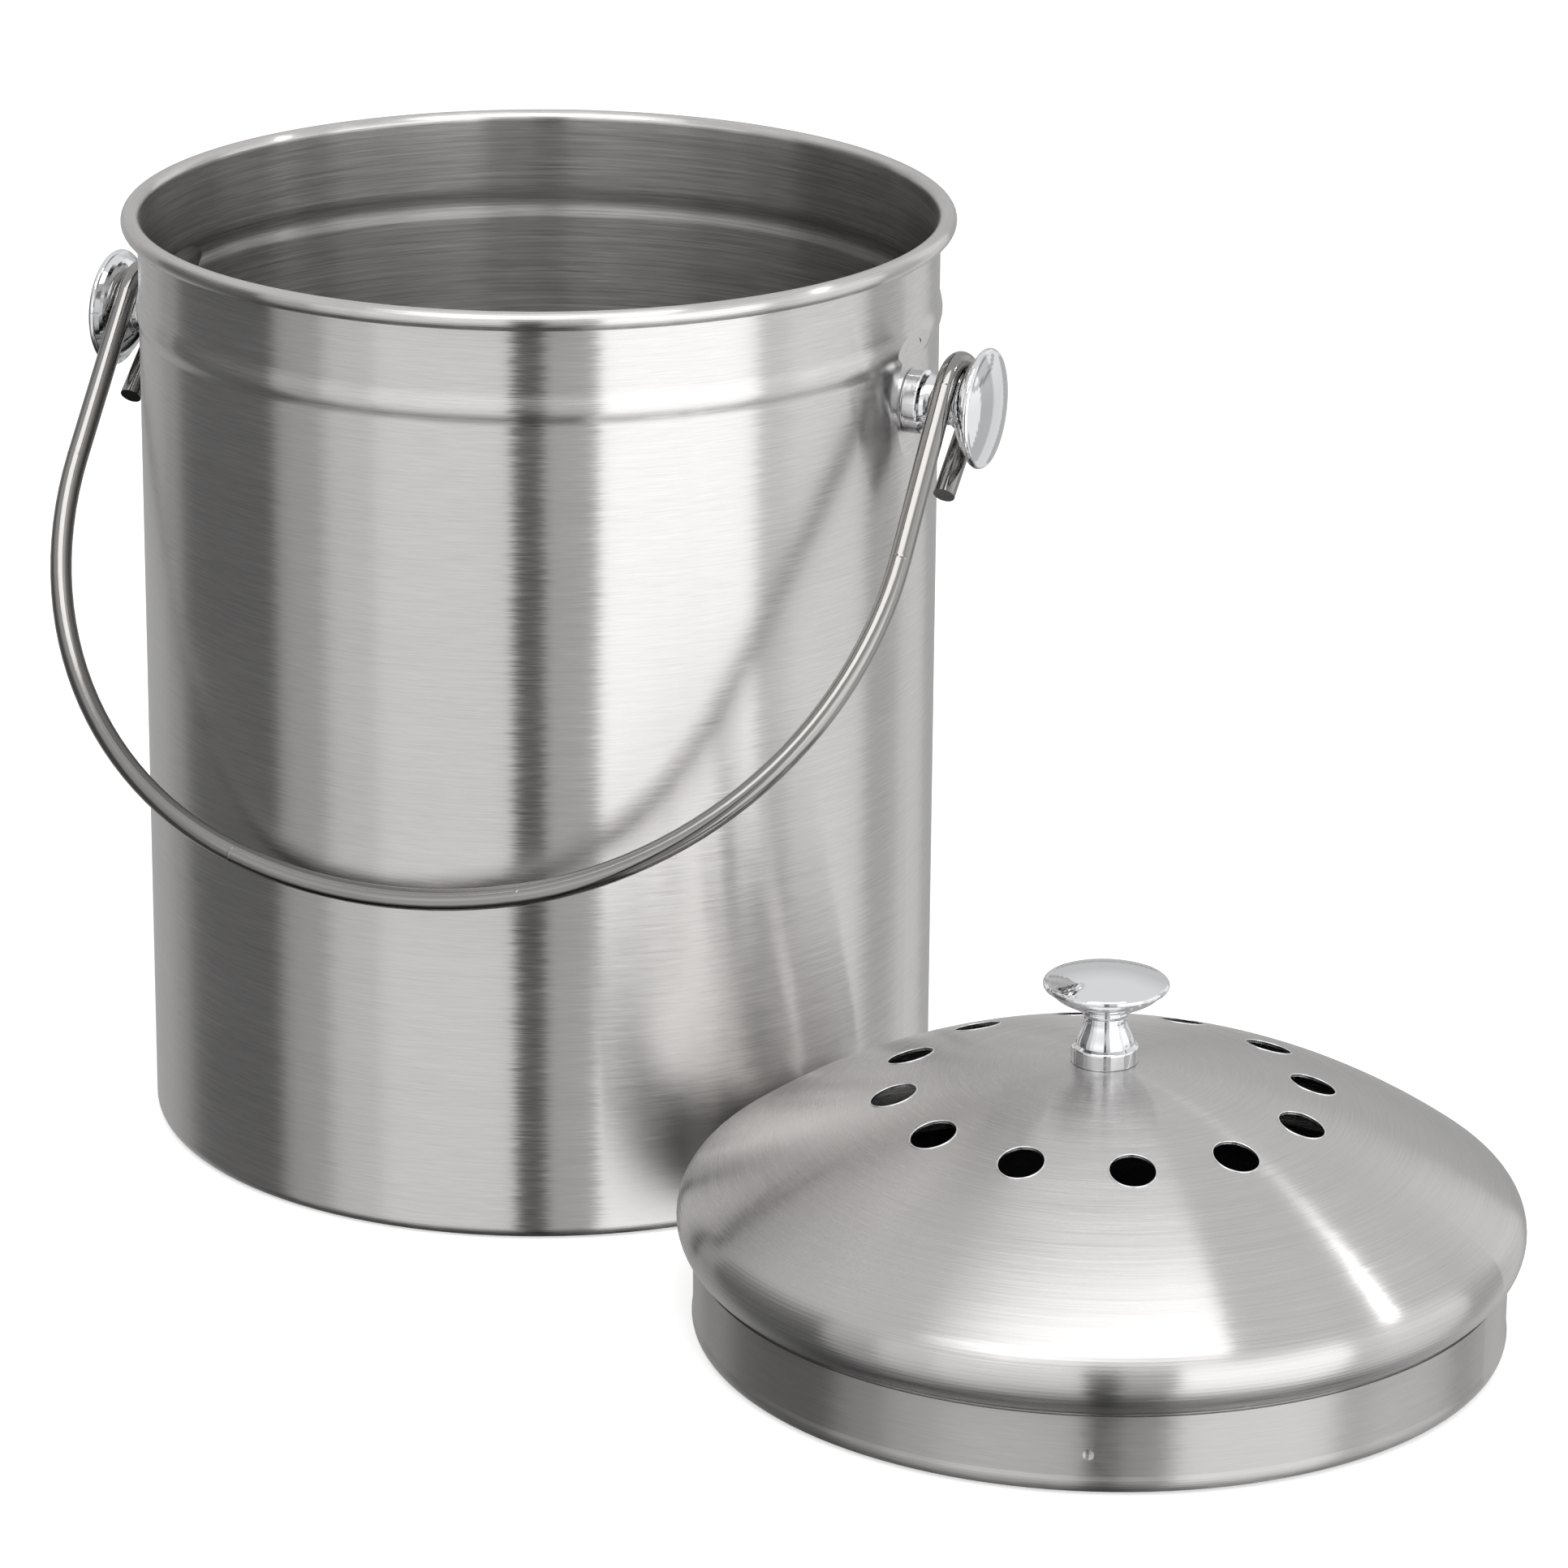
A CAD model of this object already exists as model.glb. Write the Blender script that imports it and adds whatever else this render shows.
import math

import bmesh
import bpy
from mathutils import Matrix, Vector


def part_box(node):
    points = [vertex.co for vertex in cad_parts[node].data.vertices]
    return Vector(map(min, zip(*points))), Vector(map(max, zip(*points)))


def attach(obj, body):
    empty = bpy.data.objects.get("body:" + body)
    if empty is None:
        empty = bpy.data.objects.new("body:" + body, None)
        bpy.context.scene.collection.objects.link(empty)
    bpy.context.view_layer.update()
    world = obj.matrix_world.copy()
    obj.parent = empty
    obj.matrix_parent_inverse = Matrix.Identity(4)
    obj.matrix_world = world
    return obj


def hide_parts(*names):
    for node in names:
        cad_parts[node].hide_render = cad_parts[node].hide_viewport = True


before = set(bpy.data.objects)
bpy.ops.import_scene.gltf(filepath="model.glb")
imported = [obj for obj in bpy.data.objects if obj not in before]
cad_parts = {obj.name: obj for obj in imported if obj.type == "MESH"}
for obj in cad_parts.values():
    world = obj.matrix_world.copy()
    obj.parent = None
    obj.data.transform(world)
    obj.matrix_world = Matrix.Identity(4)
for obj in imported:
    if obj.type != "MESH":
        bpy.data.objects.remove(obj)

bl_info = {
    "name": "Compost caddy",
    "version": (1, 1, 0),
    "blender": (4, 5, 0),
    "location": "View3D > Sidebar > Caddy",
    "description": "Dresses a packed compost caddy with metal, wire and felt and sets it on a pale stage",
    "category": "Object",
}

# The steps that the panel lists, in the order in which the main function runs them
STEPS = ("stage", "pail", "knobs", "bail", "lid", "vents", "filter")

# What polished metal sees round the object: (where the band ends, how bright it is), by bearing in
# degrees from the camera's side, positive to the right, starting at -180. The values are fitted, so
# that the pail's wall has the light and dark zones of the reference, and then rounded
BANDS = ((-135, 0.48), (-123, 0.37), (-79, 0.15), (-62, 0.50), (-46, 0.80), (-6, 0.98), (3, 0.10),
         (18.5, 0.56), (66, 1.70), (77, 0.88), (109, 1.00), (128, 0.55), (150, 0.80), (180, 0.48))

# How much of the bands shows at each height: (sine of the angle above the horizon, share)
HORIZON = ((-0.85, 0.08), (-0.55, 1.0), (-0.05, 1.0), (-0.04, 0.6), (-0.01, 0.6), (0.0, 1.0), (0.28, 0.95),
           (0.62, 0.0))


def srgb(text):
    """Linear RGBA of an sRGB colour such as #c0c0c0."""
    def linear(c):
        return c / 12.92 if c <= 0.04045 else ((c + 0.055) / 1.055) ** 2.4
    values = [int(text[i:i + 2], 16) / 255 for i in (1, 3, 5)]
    return (*[linear(v) for v in values], 1.0)


def mm(value):
    return value / 1000


def add(tree, kind, settings=None, **links):
    """Adds a node with its settings. A link named i3 is input 3, and other names have _ for a space."""
    node = tree.nodes.new(kind)
    for key, value in (settings or {}).items():
        setattr(node, key, value)
    for key, value in links.items():
        numbered = key[0] == "i" and key[1:].isdigit()
        socket = node.inputs[int(key[1:])] if numbered else node.inputs[key.replace("_", " ")]
        if isinstance(value, bpy.types.NodeSocket):
            tree.links.new(value, socket)
        else:
            socket.default_value = value
    return node


def calc(tree, operation, a, b=0.0, c=0.0):
    return add(tree, "ShaderNodeMath", {"operation": operation}, i0=a, i1=b, i2=c).outputs[0]


def vector(tree, operation, a, b=(0.0, 0.0, 0.0), scale=1.0):
    made = add(tree, "ShaderNodeVectorMath", {"operation": operation}, i0=a, i1=b, i3=scale)
    return made.outputs["Value"] if operation == "DOT_PRODUCT" else made.outputs[0]


def noise(tree, place, size=1.0, detail=2.0, rough=0.5):
    """Cloudy noise whose features are about as large as size, in the units of place."""
    made = add(tree, "ShaderNodeTexNoise", None, Vector=place, Scale=1 / size, Detail=detail, Roughness=rough)
    return made.outputs["Fac"]


def spread(tree, value, low, high, to_low, to_high):
    """Maps low..high of a value to to_low..to_high and clamps it."""
    made = add(tree, "ShaderNodeMapRange", None, Value=value, From_Min=low, From_Max=high,
               To_Min=to_low, To_Max=to_high)
    return made.outputs[0]


def tinted(tree, colour, factor):
    """A fixed colour times a grey factor."""
    made = add(tree, "ShaderNodeMix", {"data_type": "RGBA", "blend_type": "MULTIPLY"}, i0=1.0, i7=factor)
    made.inputs[6].default_value = colour[:]
    return made.outputs[2]


def ramp(tree, factor, stops):
    """A colour ramp through (position, grey) stops."""
    node = add(tree, "ShaderNodeValToRGB", None, Fac=factor)
    elements = node.color_ramp.elements
    while len(elements) < len(stops):
        elements.new(0.5)
    for element, (place, grey) in zip(elements, stops):
        element.position = place
        element.color = (grey, grey, grey, 1.0)
    return node.outputs["Color"]


def material(name):
    """A material with an unwired Principled shader."""
    made = bpy.data.materials.new(name)
    made.use_nodes = True
    tree = made.node_tree
    tree.nodes.clear()
    shader = tree.nodes.new("ShaderNodeBsdfPrincipled")
    out = tree.nodes.new("ShaderNodeOutputMaterial")
    tree.links.new(shader.outputs[0], out.inputs["Surface"])
    return made, tree, shader


class CADDY_PG_metal(bpy.types.PropertyGroup):
    steel: bpy.props.FloatVectorProperty(
        name="Steel", description="Colour of the brushed sheet", subtype="COLOR", size=4, min=0, max=1,
        default=srgb("#d0cecd"))
    chrome: bpy.props.FloatVectorProperty(
        name="Chrome", description="Colour of the plated knobs", subtype="COLOR", size=4, min=0, max=1,
        default=srgb("#e3e4e6"))
    wire: bpy.props.FloatVectorProperty(
        name="Wire", description="Colour of the bail", subtype="COLOR", size=4, min=0, max=1,
        default=srgb("#93918f"))
    zinc: bpy.props.FloatVectorProperty(
        name="Zinc", description="Colour of screws and washers", subtype="COLOR", size=4, min=0, max=1,
        default=srgb("#c2c4c6"))
    line_pitch: bpy.props.FloatProperty(
        name="Line pitch", description="Spacing of the brushed lines", unit="LENGTH", default=mm(0.22),
        min=mm(0.1), max=mm(2))
    line_length: bpy.props.FloatProperty(
        name="Line length", description="Usual length of a brushed line", unit="LENGTH", default=mm(8),
        min=mm(2), max=mm(300))
    inside: bpy.props.FloatProperty(
        name="Inside", description="Share of light that the duller inside gives back", subtype="FACTOR",
        default=0.70, min=0.2, max=1.0)


class CADDY_PG_filter(bpy.types.PropertyGroup):
    colour: bpy.props.FloatVectorProperty(
        name="Felt", description="Colour of the charcoal felt", subtype="COLOR", size=4, min=0, max=1,
        default=srgb("#121314"))
    crown: bpy.props.FloatProperty(
        name="Crown", description="How far the pad swells in its middle", unit="LENGTH", default=mm(0.6),
        min=0.0, max=mm(2))
    ripple: bpy.props.FloatProperty(
        name="Ripple", description="Depth of the soft rings under the pad", unit="LENGTH", default=mm(0.2),
        min=0.0, max=mm(1))


class CADDY_PG_vents(bpy.types.PropertyGroup):
    count: bpy.props.IntProperty(
        name="Count", description="Number of vent holes", default=12, min=1, max=40)
    hole: bpy.props.FloatProperty(
        name="Hole", description="Radius of a vent hole", unit="LENGTH", default=mm(5.1), min=mm(1),
        max=mm(20))
    ring: bpy.props.FloatProperty(
        name="Ring", description="Radius of the circle that the holes lie on", unit="LENGTH", default=mm(46),
        min=mm(10), max=mm(200))
    first: bpy.props.FloatProperty(
        name="First", description="Bearing of the first hole", subtype="ANGLE", default=math.radians(-3))
    lip: bpy.props.FloatProperty(
        name="Lip", description="Radius of the rounded edge that punching leaves", unit="LENGTH",
        default=mm(0.22), min=mm(0.05), max=mm(1))


class CADDY_PG_stage(bpy.types.PropertyGroup):
    place: bpy.props.FloatVectorProperty(
        name="Place", description="The camera's place before the turn", subtype="TRANSLATION", size=3,
        default=(0.05377, -1.492, 0.5975))
    lens: bpy.props.FloatProperty(
        name="Lens", description="Focal length in mm on a 36 mm sensor", default=153.8, min=20, max=300)
    turn: bpy.props.FloatProperty(
        name="Turn", description="Angle between the camera's side and the object's front", subtype="ANGLE",
        default=math.radians(21.9))
    tilt: bpy.props.FloatProperty(
        name="Tilt", description="How far the camera looks down", subtype="ANGLE", default=0.33)
    roll: bpy.props.FloatProperty(
        name="Roll", description="Turn of the camera about its view", subtype="ANGLE", default=0.0076)
    shift: bpy.props.FloatVectorProperty(
        name="Shift", description="Shift of the frame, as a share of its width", size=2,
        default=(0.0088, -0.02174))
    lift: bpy.props.FloatProperty(
        name="Lift", description="Light added to the floor as the camera sees it", default=0.5, min=0, max=2)
    floor: bpy.props.FloatVectorProperty(
        name="Floor", description="Colour of the floor", subtype="COLOR", size=4, min=0, max=1,
        default=srgb("#f4f4f4"))
    ceiling: bpy.props.FloatProperty(
        name="Ceiling", description="Brightness of what polished metal sees overhead", default=0.85, min=0,
        max=2)
    upper: bpy.props.FloatProperty(
        name="Upper", description="Gain of the bands above the horizon", default=1.3, min=1, max=3)
    room: bpy.props.FloatProperty(
        name="Room", description="Brightness of the room on rough surfaces", default=0.75, min=0, max=2)
    box_glow: bpy.props.FloatProperty(
        name="Box glow", description="Brightness of the overhead softbox", default=2.2, min=0, max=20)
    lamp_glow: bpy.props.FloatProperty(
        name="Lamp glow", description="Brightness of the small lamp that streaks the dome", default=230,
        min=0, max=2000)
    lamp_size: bpy.props.FloatProperty(
        name="Lamp size", description="Width of the small lamp", unit="LENGTH", default=mm(45), min=mm(5),
        max=mm(500))


def round_frame(tree, centre):
    """The place from an upright axis, with its unit radial and tangent directions."""
    place = add(tree, "ShaderNodeTexCoord").outputs["Object"]
    local = vector(tree, "SUBTRACT", place, centre)
    flat = vector(tree, "MULTIPLY", local, (1, 1, 0))
    radial = vector(tree, "NORMALIZE", flat)
    tangent = vector(tree, "CROSS_PRODUCT", (0, 0, 1), radial)
    return local, radial, tangent


def spun(tree, local, radial, length, pitch, radius=mm(90)):
    """Texture coordinates for lines of a given length, at a usual radius, that run round the axis."""
    parts = add(tree, "ShaderNodeSeparateXYZ", None, Vector=local).outputs
    reach = vector(tree, "DOT_PRODUCT", local, radial)
    run = calc(tree, "MULTIPLY", calc(tree, "SUBTRACT", parts["Z"], reach), 1 / pitch)
    around = vector(tree, "SCALE", radial, scale=radius / length)
    up = add(tree, "ShaderNodeCombineXYZ", None, Z=run).outputs[0]
    return vector(tree, "ADD", around, up)


def brushed_steel(name, settings, centre, rough=0.23, length=1.0, shine=1.0, hollow=False):
    """Stainless sheet brushed round the piece with an abrasive belt.

    Fine lines of uneven depth stretch each highlight across themselves and comb its edges. Slow
    bands and faint smears show where the belt bit harder. Lines are longer where the piece was
    spun. Sheet that was brushed once and not polished has less shine, and a hollow piece, given by
    the height that its inside reaches up to, is duller inside.
    """
    made, tree, shader = material(name)
    local, radial, tangent = round_frame(tree, centre)
    reach = settings.line_length * length
    pitch = settings.line_pitch
    fine = noise(tree, spun(tree, local, radial, reach, pitch), 1, 2, 0.6)
    wide = noise(tree, spun(tree, local, radial, reach * 4, pitch * 3.5), 1, 2, 0.6)
    comb = noise(tree, spun(tree, local, radial, reach, pitch * 1.6), 1, 2, 0.7)
    slow = noise(tree, spun(tree, local, radial, mm(120), mm(6)), 1, 2, 0.5)
    smear = noise(tree, local, mm(45.5), 4, 0.55)

    lines = calc(tree, "MULTIPLY_ADD", fine, 0.7, calc(tree, "MULTIPLY", wide, 0.3))
    level = calc(tree, "MULTIPLY_ADD", lines, 0.75,
                 calc(tree, "MULTIPLY_ADD", slow, 0.13, calc(tree, "MULTIPLY", smear, 0.12)))
    usual = (0.34, 0.64)
    rough_swing = 0.035
    tone = spread(tree, level, *usual, 0.86 * shine, 1.03 * shine)
    rough_at = spread(tree, level, *usual, rough - rough_swing, rough + rough_swing)
    if hollow:
        facing = vector(tree, "DOT_PRODUCT", add(tree, "ShaderNodeTexCoord").outputs["Normal"], radial)
        upward = add(tree, "ShaderNodeSeparateXYZ", None, Vector=local).outputs["Z"]
        below_rim = calc(tree, "LESS_THAN", upward, hollow)
        inward = calc(tree, "LESS_THAN", facing, 0.3)
        inner = calc(tree, "MULTIPLY", inward, below_rim)
        drag = noise(tree, spun(tree, local, radial, mm(35), mm(0.4)), 1, 3, 0.7)
        scored = spread(tree, drag, 0.3, 0.7, settings.inside - 0.22, settings.inside + 0.12)
        dulling = add(tree, "ShaderNodeMix", {"data_type": "FLOAT"}, i0=inner, i2=1.0, i3=scored).outputs[0]
        tone = calc(tree, "MULTIPLY", tone, dulling)
        inner_rough = 0.09
        rough_at = calc(tree, "MULTIPLY_ADD", inner, inner_rough, rough_at)
    tree.links.new(tinted(tree, settings.steel, tone), shader.inputs["Base Color"])
    tree.links.new(rough_at, shader.inputs["Roughness"])
    shader.inputs["Metallic"].default_value = 1.0
    shader.inputs["Anisotropic"].default_value = 1.0
    shader.inputs["Anisotropic Rotation"].default_value = 0.25
    turn = add(tree, "ShaderNodeTangent", {"direction_type": "RADIAL", "axis": "Z"}).outputs[0]
    tree.links.new(turn, shader.inputs["Tangent"])

    relief = add(tree, "ShaderNodeBump", None, Strength=0.2, Distance=mm(0.012), Height=lines).outputs[0]
    along = add(tree, "ShaderNodeVectorTransform",
                {"vector_type": "VECTOR", "convert_from": "OBJECT", "convert_to": "WORLD"}, Vector=tangent)
    full_sway = 0.045
    sway = calc(tree, "MULTIPLY", calc(tree, "SUBTRACT", comb, 0.5), full_sway)
    tilted = vector(tree, "ADD", relief, vector(tree, "SCALE", along.outputs[0], scale=sway))
    tree.links.new(vector(tree, "NORMALIZE", tilted), shader.inputs["Normal"])
    return made


def mirror_chrome(name, colour):
    """Bright chrome plate on a turned and buffed knob: a clean mirror with a slow orange peel."""
    made, tree, shader = material(name)
    place = add(tree, "ShaderNodeTexCoord").outputs["Object"]
    wipe = noise(tree, place, mm(5.55), 5)
    peel = noise(tree, place, mm(6.25), 1)
    relief = add(tree, "ShaderNodeBump", None, Strength=0.05, Distance=mm(0.02), Height=peel).outputs[0]
    shader.inputs["Base Color"].default_value = colour[:]
    shader.inputs["Metallic"].default_value = 1.0
    tree.links.new(spread(tree, wipe, 0.4, 0.75, 0.03, 0.06), shader.inputs["Roughness"])
    tree.links.new(relief, shader.inputs["Normal"])
    return made


def drawn_wire(name, colour):
    """Stainless wire, drawn and tumbled bright: a soft sheen with small nicks from handling."""
    made, tree, shader = material(name)
    place = add(tree, "ShaderNodeTexCoord").outputs["Object"]
    cloud = noise(tree, place, mm(11.1), 4)
    cell = add(tree, "ShaderNodeTexVoronoi", None, Vector=place, Scale=1 / mm(2.38))
    rare = add(tree, "ShaderNodeSeparateColor", None, Color=cell.outputs["Color"]).outputs[0]
    nick = calc(tree, "MULTIPLY", calc(tree, "GREATER_THAN", rare, 0.9),
                spread(tree, cell.outputs["Distance"], 0.1, 0.35, 1, 0))
    height = calc(tree, "MULTIPLY_ADD", nick, -0.8, cloud)
    relief = add(tree, "ShaderNodeBump", None, Strength=0.15, Distance=mm(0.04), Height=height).outputs[0]
    shader.inputs["Base Color"].default_value = colour[:]
    shader.inputs["Metallic"].default_value = 1.0
    tree.links.new(spread(tree, cloud, 0.3, 0.7, 0.09, 0.16), shader.inputs["Roughness"])
    tree.links.new(relief, shader.inputs["Normal"])
    return made


def zinc_plate(name, colour):
    """Bright zinc plate on small screws: grey and a little cloudy."""
    made, tree, shader = material(name)
    place = add(tree, "ShaderNodeTexCoord").outputs["Object"]
    cloud = noise(tree, place, mm(2.5), 4)
    clouded = tinted(tree, colour, spread(tree, cloud, 0.3, 0.7, 0.85, 1.0))
    tree.links.new(clouded, shader.inputs["Base Color"])
    tree.links.new(spread(tree, cloud, 0.3, 0.7, 0.22, 0.38), shader.inputs["Roughness"])
    shader.inputs["Metallic"].default_value = 1.0
    return made


def charcoal_felt(name, colour):
    """Needled polyester felt loaded with activated charcoal: matted fibres and dull black grains."""
    made, tree, shader = material(name)
    place = add(tree, "ShaderNodeTexCoord").outputs["Object"]
    fibre = add(tree, "ShaderNodeTexNoise", None, Vector=place, Scale=1 / mm(0.667), Detail=6.0,
                Roughness=0.75, Distortion=1.5).outputs["Fac"]
    grain = add(tree, "ShaderNodeTexVoronoi", None, Vector=place, Scale=1 / mm(1.11)).outputs["Distance"]
    height = calc(tree, "MULTIPLY_ADD", grain, -0.5, fibre)
    relief = add(tree, "ShaderNodeBump", None, Strength=0.8, Distance=mm(0.5), Height=height).outputs[0]
    tree.links.new(tinted(tree, colour, spread(tree, height, 0, 0.7, 0.45, 1.5)), shader.inputs["Base Color"])
    tree.links.new(relief, shader.inputs["Normal"])
    shader.inputs["Roughness"].default_value = 0.95
    shader.inputs["Specular IOR Level"].default_value = 0.2
    shader.inputs["Sheen Weight"].default_value = 0.1
    shader.inputs["Sheen Roughness"].default_value = 0.5
    return made


def burnished_edge(name, colour):
    """The rounded edge of a punched hole, rubbed bright by the deburring wheel."""
    made, tree, shader = material(name)
    place = add(tree, "ShaderNodeTexCoord").outputs["Object"]
    rub = noise(tree, place, mm(1.11), 3)
    tree.links.new(tinted(tree, colour, spread(tree, rub, 0.3, 0.7, 0.85, 1.0)), shader.inputs["Base Color"])
    tree.links.new(spread(tree, rub, 0.3, 0.7, 0.16, 0.30), shader.inputs["Roughness"])
    shader.inputs["Metallic"].default_value = 1.0
    return made


def dress(node, made):
    """Gives a CAD node its material in every slot."""
    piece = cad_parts[node]
    if not piece.material_slots:
        piece.data.materials.append(made)
    for slot in piece.material_slots:
        slot.material = made


def lathe(name, profile, centre, segments=160):
    """Turns a profile of (radius, height) points about an upright axis. Its ends lie on the axis."""
    mesh = bmesh.new()
    rings = []
    for radius, height in profile:
        count = segments if radius > 1e-7 else 1
        turns = [2 * math.pi * k / count for k in range(count)]
        rings.append([mesh.verts.new((centre[0] + radius * math.cos(a), centre[1] + radius * math.sin(a),
                                      height)) for a in turns])
    for low, high in zip(rings, rings[1:]):
        for k in range(segments):
            n = k + 1
            ring = (low[k % len(low)], low[n % len(low)], high[n % len(high)], high[k % len(high)])
            corners = list(dict.fromkeys(ring))
            if len(corners) > 2:
                mesh.faces.new(corners)
    bmesh.ops.recalc_face_normals(mesh, faces=mesh.faces)
    data = bpy.data.meshes.new(name)
    mesh.to_mesh(data)
    mesh.free()
    data.shade_smooth()
    made = bpy.data.objects.new(name, data)
    bpy.context.scene.collection.objects.link(made)
    return made


def lip_tree(made):
    """Geometry nodes that lay a thin rounded lip round each of a ring of holes in a sloping sheet."""
    tree = bpy.data.node_groups.new("vent lips", "GeometryNodeTree")
    kinds = (("Count", "Int"), ("Hole", "Float"), ("Ring", "Float"), ("First", "Float"), ("Lip", "Float"),
             ("Slope", "Float"), ("Centre", "Vector"))
    for name, kind in kinds:
        tree.interface.new_socket(name, in_out="INPUT", socket_type="NodeSocket" + kind)
    tree.interface.new_socket("Geometry", in_out="OUTPUT", socket_type="NodeSocketGeometry")
    given = tree.nodes.new("NodeGroupInput").outputs
    edge = add(tree, "GeometryNodeCurvePrimitiveCircle", None, Resolution=48, Radius=given["Hole"])
    tilt = add(tree, "ShaderNodeCombineXYZ", None, Y=given["Slope"])
    stretch = add(tree, "ShaderNodeCombineXYZ", None, Y=1.0, Z=1.0,
                  X=calc(tree, "DIVIDE", 1.0, calc(tree, "COSINE", given["Slope"])))
    laid = add(tree, "GeometryNodeTransform", None, Geometry=edge.outputs["Curve"], Rotation=tilt.outputs[0],
               Scale=stretch.outputs[0])
    round_bar = add(tree, "GeometryNodeCurvePrimitiveCircle", None, Resolution=8, Radius=given["Lip"])
    lip = add(tree, "GeometryNodeCurveToMesh", None, Curve=laid.outputs[0],
              Profile_Curve=round_bar.outputs["Curve"])
    ring = add(tree, "GeometryNodeMeshCircle", None, Vertices=given["Count"], Radius=given["Ring"])
    step = calc(tree, "DIVIDE", 2 * math.pi, given["Count"])
    bearing = calc(tree, "MULTIPLY", add(tree, "GeometryNodeInputIndex").outputs[0], step)
    facing = add(tree, "FunctionNodeEulerToRotation", None,
                 Euler=add(tree, "ShaderNodeCombineXYZ", None, Z=bearing).outputs[0])
    lips = add(tree, "GeometryNodeInstanceOnPoints", None, Points=ring.outputs[0], Instance=lip.outputs[0],
               Rotation=facing.outputs[0])
    turn = add(tree, "ShaderNodeCombineXYZ", None, Z=given["First"])
    placed = add(tree, "GeometryNodeTransform", None, Geometry=lips.outputs[0], Rotation=turn.outputs[0],
                 Translation=given["Centre"])
    real = add(tree, "GeometryNodeRealizeInstances", None, Geometry=placed.outputs[0])
    coated = add(tree, "GeometryNodeSetMaterial", None, Geometry=real.outputs[0], Material=made)
    add(tree, "NodeGroupOutput", None, Geometry=coated.outputs[0])
    return tree


def from_nodes(name, tree, values):
    """A plain mesh object made by a geometry node tree with the given named inputs."""
    host = bpy.data.objects.new(name + " host", bpy.data.meshes.new(name + " host"))
    bpy.context.scene.collection.objects.link(host)
    nodes = host.modifiers.new(name, "NODES")
    nodes.node_group = tree
    for item in tree.interface.items_tree:
        if item.in_out == "INPUT":
            nodes[item.identifier] = values[item.name]
    ready = host.evaluated_get(bpy.context.evaluated_depsgraph_get())
    data = bpy.data.meshes.new_from_object(ready)
    bpy.data.objects.remove(host)
    data.name = name
    data.shade_smooth()
    made = bpy.data.objects.new(name, data)
    bpy.context.scene.collection.objects.link(made)
    return made


def height_at(node, x, y):
    """Height of a CAD node's upper surface above a place in the plan."""
    hit, place, _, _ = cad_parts[node].ray_cast((x, y, 1.0), (0, 0, -1))
    if not hit:
        raise RuntimeError(f"{node} has no surface at {x:.4f}, {y:.4f}")
    return place[2]


def centre_of(node):
    low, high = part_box(node)
    return ((low[0] + high[0]) / 2, (low[1] + high[1]) / 2)


class CADDY_OT_pail(bpy.types.Operator):
    """Dress the pail's sheet and all screws and washers"""
    bl_idname = "caddy.pail"
    bl_label = "Pail and fasteners"

    def execute(self, context):
        metal = context.scene.caddy_metal
        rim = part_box("pail_body")[1][2]
        dress("pail_body", brushed_steel("brushed pail sheet", metal, (0, 0, 0), hollow=rim - mm(4)))
        zinc = zinc_plate("zinc plated steel", metal.zinc)
        for piece in ("left_stud", "right_stud", "lid_knob"):
            dress(piece + "_screw", zinc)
            dress(piece + "_washer", zinc)
        return {"FINISHED"}


class CADDY_OT_knobs(bpy.types.Operator):
    """Plate the two studs and the lid's knob"""
    bl_idname = "caddy.knobs"
    bl_label = "Studs and knob"

    def execute(self, context):
        chrome = mirror_chrome("mirror chrome plate", context.scene.caddy_metal.chrome)
        for node in ("left_stud", "right_stud", "lid_knob"):
            dress(node, chrome)
        return {"FINISHED"}


class CADDY_OT_bail(bpy.types.Operator):
    """Finish the bail as drawn wire"""
    bl_idname = "caddy.bail"
    bl_label = "Bail"

    def execute(self, context):
        dress("bail_wire", drawn_wire("drawn stainless wire", context.scene.caddy_metal.wire))
        return {"FINISHED"}


class CADDY_OT_lid(bpy.types.Operator):
    """Dress the lid's dome, its skirt and the filter's tabs"""
    bl_idname = "caddy.lid"
    bl_label = "Lid"

    def execute(self, context):
        metal = context.scene.caddy_metal
        axis = (*centre_of("lid_dome"), 0)
        dome = brushed_steel("brushed dome sheet", metal, axis, rough=0.25, length=3.0, shine=0.93)
        dress("lid_dome", dome)
        skirt = brushed_steel("brushed skirt sheet", metal, axis, rough=0.34, shine=0.80)
        for node in ("lid_skirt", "filter_tab_1", "filter_tab_2", "filter_tab_3", "filter_tab_4"):
            dress(node, skirt)
        return {"FINISHED"}


class CADDY_OT_vents(bpy.types.Operator):
    """Round the punched edges of the lid's vent holes"""
    bl_idname = "caddy.vents"
    bl_label = "Vent lips"

    def execute(self, context):
        settings = context.scene.caddy_vents
        x, y = centre_of("lid_dome")
        between = settings.first + math.pi / settings.count
        heights = []
        for radius in (settings.ring - settings.hole, settings.ring, settings.ring + settings.hole):
            across = Vector((math.cos(between), math.sin(between))) * radius
            heights.append(height_at("lid_dome", x + across.x, y + across.y))
        slope = math.atan2(heights[0] - heights[2], 2 * settings.hole)
        edge = burnished_edge("burnished punched edge", context.scene.caddy_metal.chrome)
        lips = from_nodes("vent_lips", lip_tree(edge), {
            "Count": settings.count, "Hole": settings.hole, "Ring": settings.ring, "First": settings.first,
            "Lip": settings.lip, "Slope": slope, "Centre": (x, y, heights[1] - settings.lip / 2)})
        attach(lips, "lid")
        return {"FINISHED"}


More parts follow.
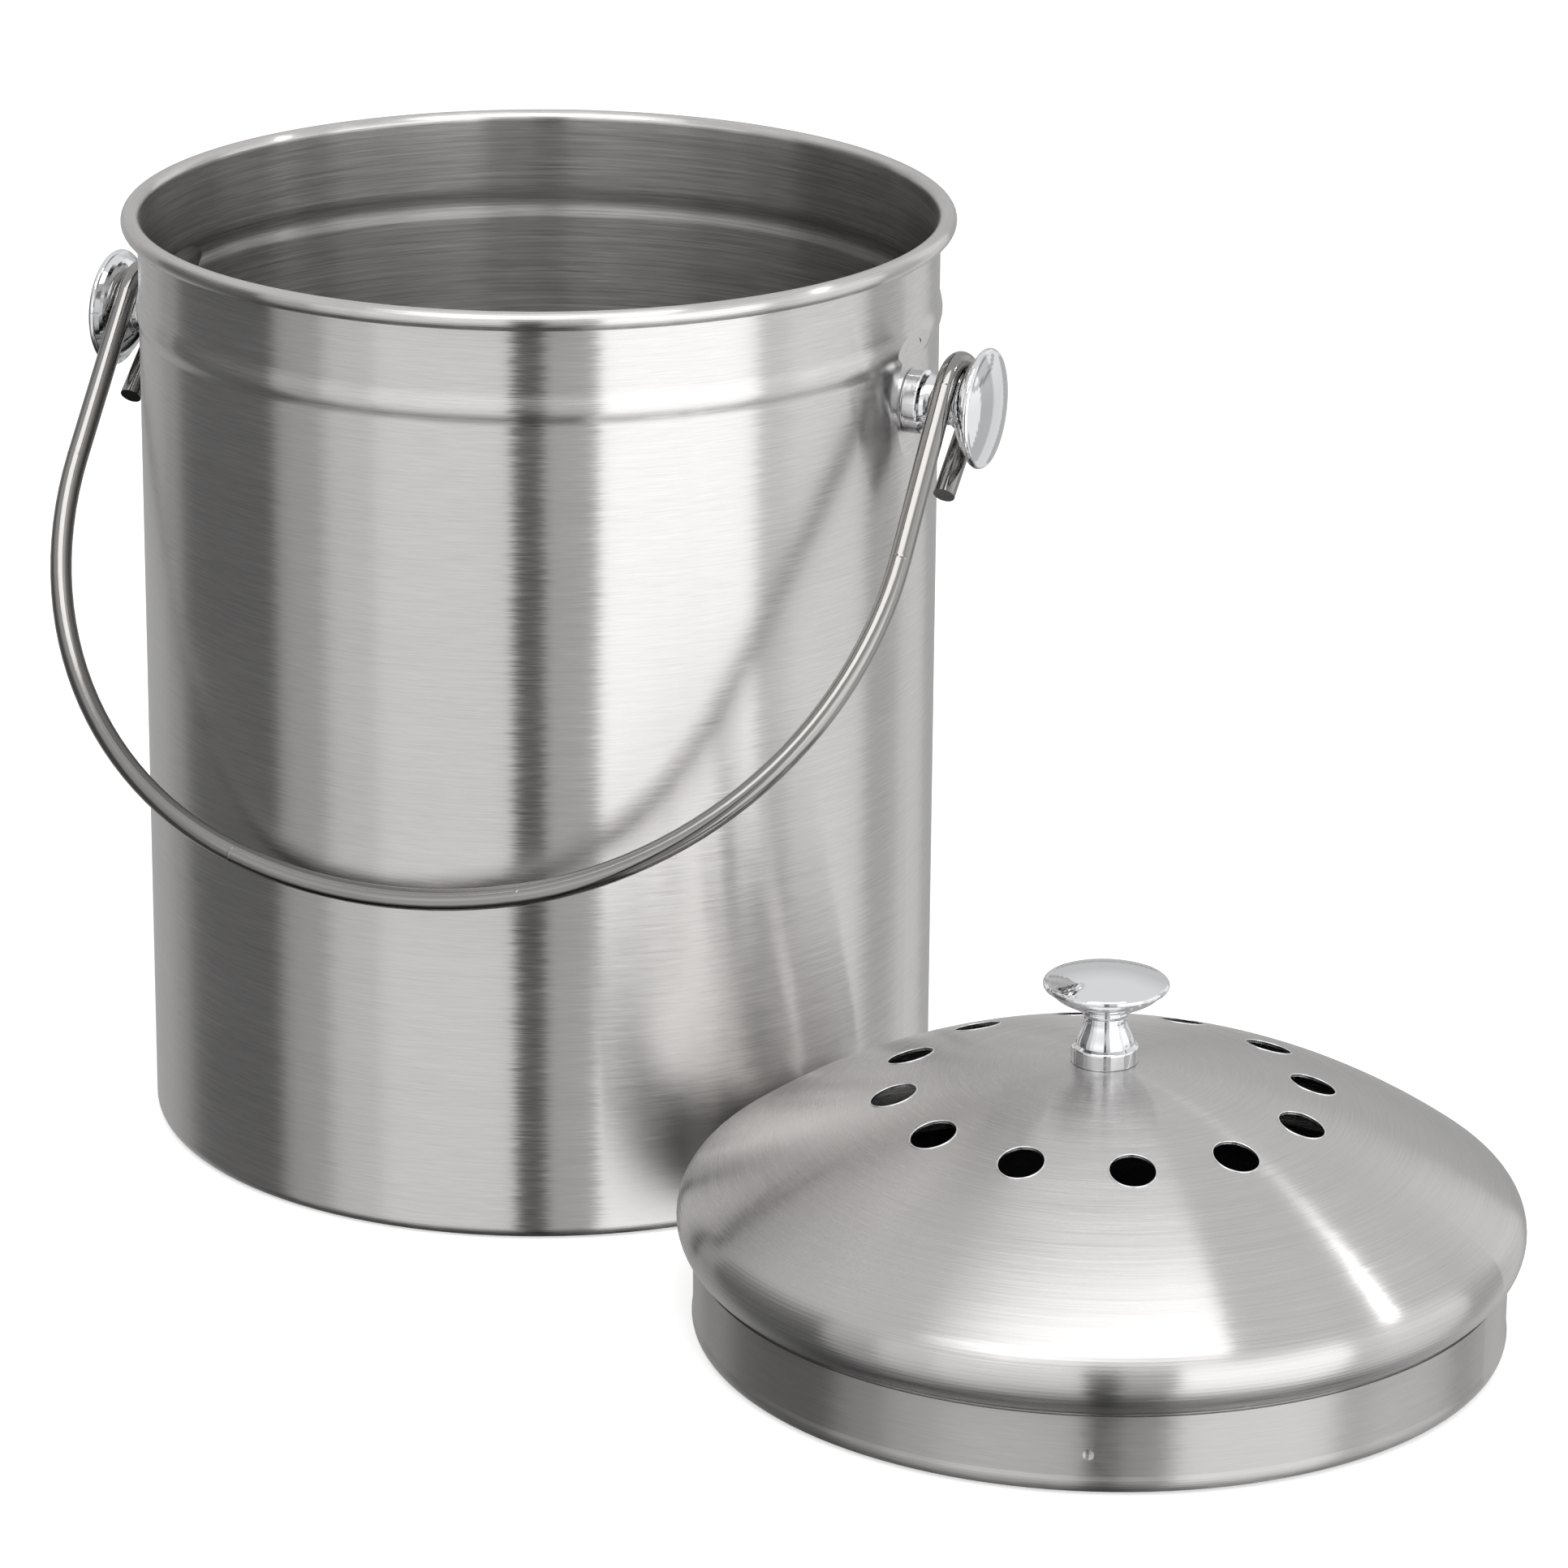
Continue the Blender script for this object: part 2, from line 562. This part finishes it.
class CADDY_OT_filter(bpy.types.Operator):
    """Replace the plain filter by a felt pad with a soft, crowned form"""
    bl_idname = "caddy.filter"
    bl_label = "Filter"

    def execute(self, context):
        settings = context.scene.caddy_filter
        low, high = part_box("charcoal_filter")
        side_play = mm(0.3)
        under_play = mm(0.1)
        head_room = mm(1.6)
        edge = (high[0] - low[0]) / 2 - side_play
        bottom = low[2] + under_play
        top = high[2] - head_room
        steps = 40
        flat_part = 0.93
        ripple_step = 0.9
        drawn_up = mm(1.1)
        drawn_down = mm(1.4)
        under = []
        over = []
        for k in range(steps + 1):
            share = k / steps
            rounding = max(0.0, (share - flat_part) / (1 - flat_part)) ** 2
            ripple = settings.ripple * math.cos(k * ripple_step) * (k > 0)
            under.append((edge * share, bottom + drawn_up * rounding + ripple))
            over.append((edge * share, top + settings.crown * (1 - share ** 2) - drawn_down * rounding))
        pad = lathe("felt_pad", under + over[::-1], centre_of("charcoal_filter"))
        pad.data.materials.append(charcoal_felt("charcoal felt", settings.colour))
        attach(pad, "lid")
        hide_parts("charcoal_filter")
        return {"FINISHED"}


def softbox(name, place, target, size, glow, spin=0.0):
    """A rectangular lamp of a given brightness that faces a target, turned about its own axis."""
    data = bpy.data.lights.new(name, "AREA")
    data.shape = "RECTANGLE"
    data.size, data.size_y = size
    data.energy = glow * math.pi * size[0] * size[1]
    made = bpy.data.objects.new(name, data)
    bpy.context.scene.collection.objects.link(made)
    made.location = place
    facing = (Vector(target) - Vector(place)).to_track_quat("-Z", "Y")
    made.rotation_euler = (facing.to_matrix() @ Matrix.Rotation(spin, 3, "Z")).to_euler()
    made.visible_camera = False


def place_camera(scene, settings):
    """A camera that looks along +Y with a tilt and a roll, turned about the pail's axis."""
    turn = Matrix.Rotation(settings.turn, 3, "Z")
    look = Matrix.Rotation(math.pi / 2 - settings.tilt, 3, "X") @ Matrix.Rotation(settings.roll, 3, "Z")
    data = bpy.data.cameras.new("camera")
    data.lens = settings.lens
    data.sensor_width = 36
    data.shift_x, data.shift_y = settings.shift
    camera = bpy.data.objects.new("camera", data)
    scene.collection.objects.link(camera)
    camera.matrix_world = Matrix.Translation(turn @ Vector(settings.place)) @ (turn @ look).to_4x4()
    scene.camera = camera


def surroundings(scene, settings):
    """A world that is white to the camera, even to rough surfaces and a banded studio to metal.

    Each band's edge is blurred by a few tenths of a degree on either side.
    """
    world = bpy.data.worlds.new("surroundings")
    scene.world = world
    world.use_nodes = True
    tree = world.node_tree
    tree.nodes.clear()
    sky = add(tree, "ShaderNodeTexCoord").outputs["Generated"]
    beside = vector(tree, "DOT_PRODUCT", sky, (math.cos(settings.turn), math.sin(settings.turn), 0))
    front = vector(tree, "DOT_PRODUCT", sky, (math.sin(settings.turn), -math.cos(settings.turn), 0))
    bearing = calc(tree, "ARCTAN2", beside, front)
    blur = 0.7
    stops = []
    start = -180
    for end, glow in BANDS:
        stops.append(((start + blur + 180) / 360, glow))
        stops.append(((end - blur + 180) / 360, glow))
        start = end
    bands = ramp(tree, calc(tree, "MULTIPLY_ADD", bearing, 1 / (2 * math.pi), 0.5), stops)
    height = add(tree, "ShaderNodeSeparateXYZ", None, Vector=sky).outputs["Z"]
    share = ramp(tree, calc(tree, "MULTIPLY_ADD", height, 0.5, 0.5),
                 [(z * 0.5 + 0.5, part) for z, part in HORIZON])
    above = calc(tree, "MULTIPLY", calc(tree, "GREATER_THAN", height, 0), settings.ceiling)
    raised = calc(tree, "MULTIPLY", bands, spread(tree, height, -0.2, 0.15, 1.0, settings.upper))
    studio = add(tree, "ShaderNodeMix", {"data_type": "FLOAT"}, i0=share, i2=above, i3=raised).outputs[0]

    path = add(tree, "ShaderNodeLightPath").outputs
    metal = add(tree, "ShaderNodeBackground", None, Color=(1, 1, 1, 1), Strength=studio)
    room = add(tree, "ShaderNodeBackground", None, Color=(1, 1, 1, 1), Strength=settings.room)
    white = add(tree, "ShaderNodeBackground", None, Color=(1, 1, 1, 1), Strength=1.0)
    lit = add(tree, "ShaderNodeMixShader", None, i0=path["Is Glossy Ray"], i1=room.outputs[0],
              i2=metal.outputs[0])
    seen = add(tree, "ShaderNodeMixShader", None, i0=path["Is Camera Ray"], i1=lit.outputs[0],
               i2=white.outputs[0])
    add(tree, "ShaderNodeOutputWorld", None, Surface=seen.outputs[0])


def lay_floor(context, settings):
    """A matt pale floor that polished metal looks through, so that it shows the studio below."""
    bpy.ops.mesh.primitive_plane_add(size=12, location=(0, 0, 0))
    floor = context.active_object
    floor.name = "floor"
    made, tree, shader = material("pale floor")
    shader.inputs["Base Color"].default_value = settings.floor[:]
    shader.inputs["Roughness"].default_value = 0.9
    shader.inputs["Specular IOR Level"].default_value = 0.0
    path = add(tree, "ShaderNodeLightPath").outputs
    lifted = calc(tree, "MULTIPLY", path["Is Camera Ray"], settings.lift)
    tree.links.new(lifted, shader.inputs["Emission Strength"])
    shader.inputs["Emission Color"].default_value = settings.floor[:]
    clear = add(tree, "ShaderNodeBsdfTransparent").outputs[0]
    seen = add(tree, "ShaderNodeMixShader", None, i0=path["Is Glossy Ray"], i1=shader.outputs[0],
               i2=clear).outputs[0]
    out = tree.nodes["Material Output"]
    tree.links.new(seen, out.inputs["Surface"])
    floor.data.materials.append(made)


class CADDY_OT_stage(bpy.types.Operator):
    """Set up the camera, the lamps, the floor and the surroundings"""
    bl_idname = "caddy.stage"
    bl_label = "Stage"

    def execute(self, context):
        settings = context.scene.caddy_stage
        context.scene.view_settings.view_transform = "Standard"
        place_camera(context.scene, settings)
        surroundings(context.scene, settings)
        lay_floor(context, settings)
        turn = Matrix.Rotation(settings.turn, 3, "Z")
        box_spin = settings.turn + math.radians(18)
        box_at = Vector((-0.07, -0.83, 1.65))
        below_box = Vector((-0.07, -0.83, 0))
        softbox("overhead box", turn @ box_at, turn @ below_box, (1.8, 1.0), settings.box_glow, box_spin)
        lamp_at = Vector((1.485, 0.2, 1.42))
        lamp_aim = Vector((0.05, -0.05, 0.1))
        softbox("small lamp", turn @ lamp_at, turn @ lamp_aim, (settings.lamp_size, settings.lamp_size),
                settings.lamp_glow)
        return {"FINISHED"}


class CADDY_PT_panel(bpy.types.Panel):
    """Lists the steps that dress the caddy"""
    bl_idname = "CADDY_PT_panel"
    bl_label = "Compost caddy"
    bl_space_type = "VIEW_3D"
    bl_region_type = "UI"
    bl_category = "Caddy"

    def draw(self, context):
        for step in STEPS:
            self.layout.operator("caddy." + step)


CLASSES = (CADDY_PG_metal, CADDY_PG_vents, CADDY_PG_filter, CADDY_PG_stage, CADDY_OT_stage, CADDY_OT_pail,
           CADDY_OT_knobs, CADDY_OT_bail, CADDY_OT_lid, CADDY_OT_vents, CADDY_OT_filter, CADDY_PT_panel)


def register():
    for each in CLASSES:
        bpy.utils.register_class(each)
    bpy.types.Scene.caddy_metal = bpy.props.PointerProperty(type=CADDY_PG_metal)
    bpy.types.Scene.caddy_vents = bpy.props.PointerProperty(type=CADDY_PG_vents)
    bpy.types.Scene.caddy_filter = bpy.props.PointerProperty(type=CADDY_PG_filter)
    bpy.types.Scene.caddy_stage = bpy.props.PointerProperty(type=CADDY_PG_stage)


def unregister():
    del bpy.types.Scene.caddy_metal
    del bpy.types.Scene.caddy_vents
    del bpy.types.Scene.caddy_filter
    del bpy.types.Scene.caddy_stage
    for each in reversed(CLASSES):
        bpy.utils.unregister_class(each)


def build():
    """Registers the add-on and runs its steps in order."""
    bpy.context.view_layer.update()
    register()
    for step in STEPS:
        getattr(bpy.ops.caddy, step)()


if __name__ == "__main__":
    build()
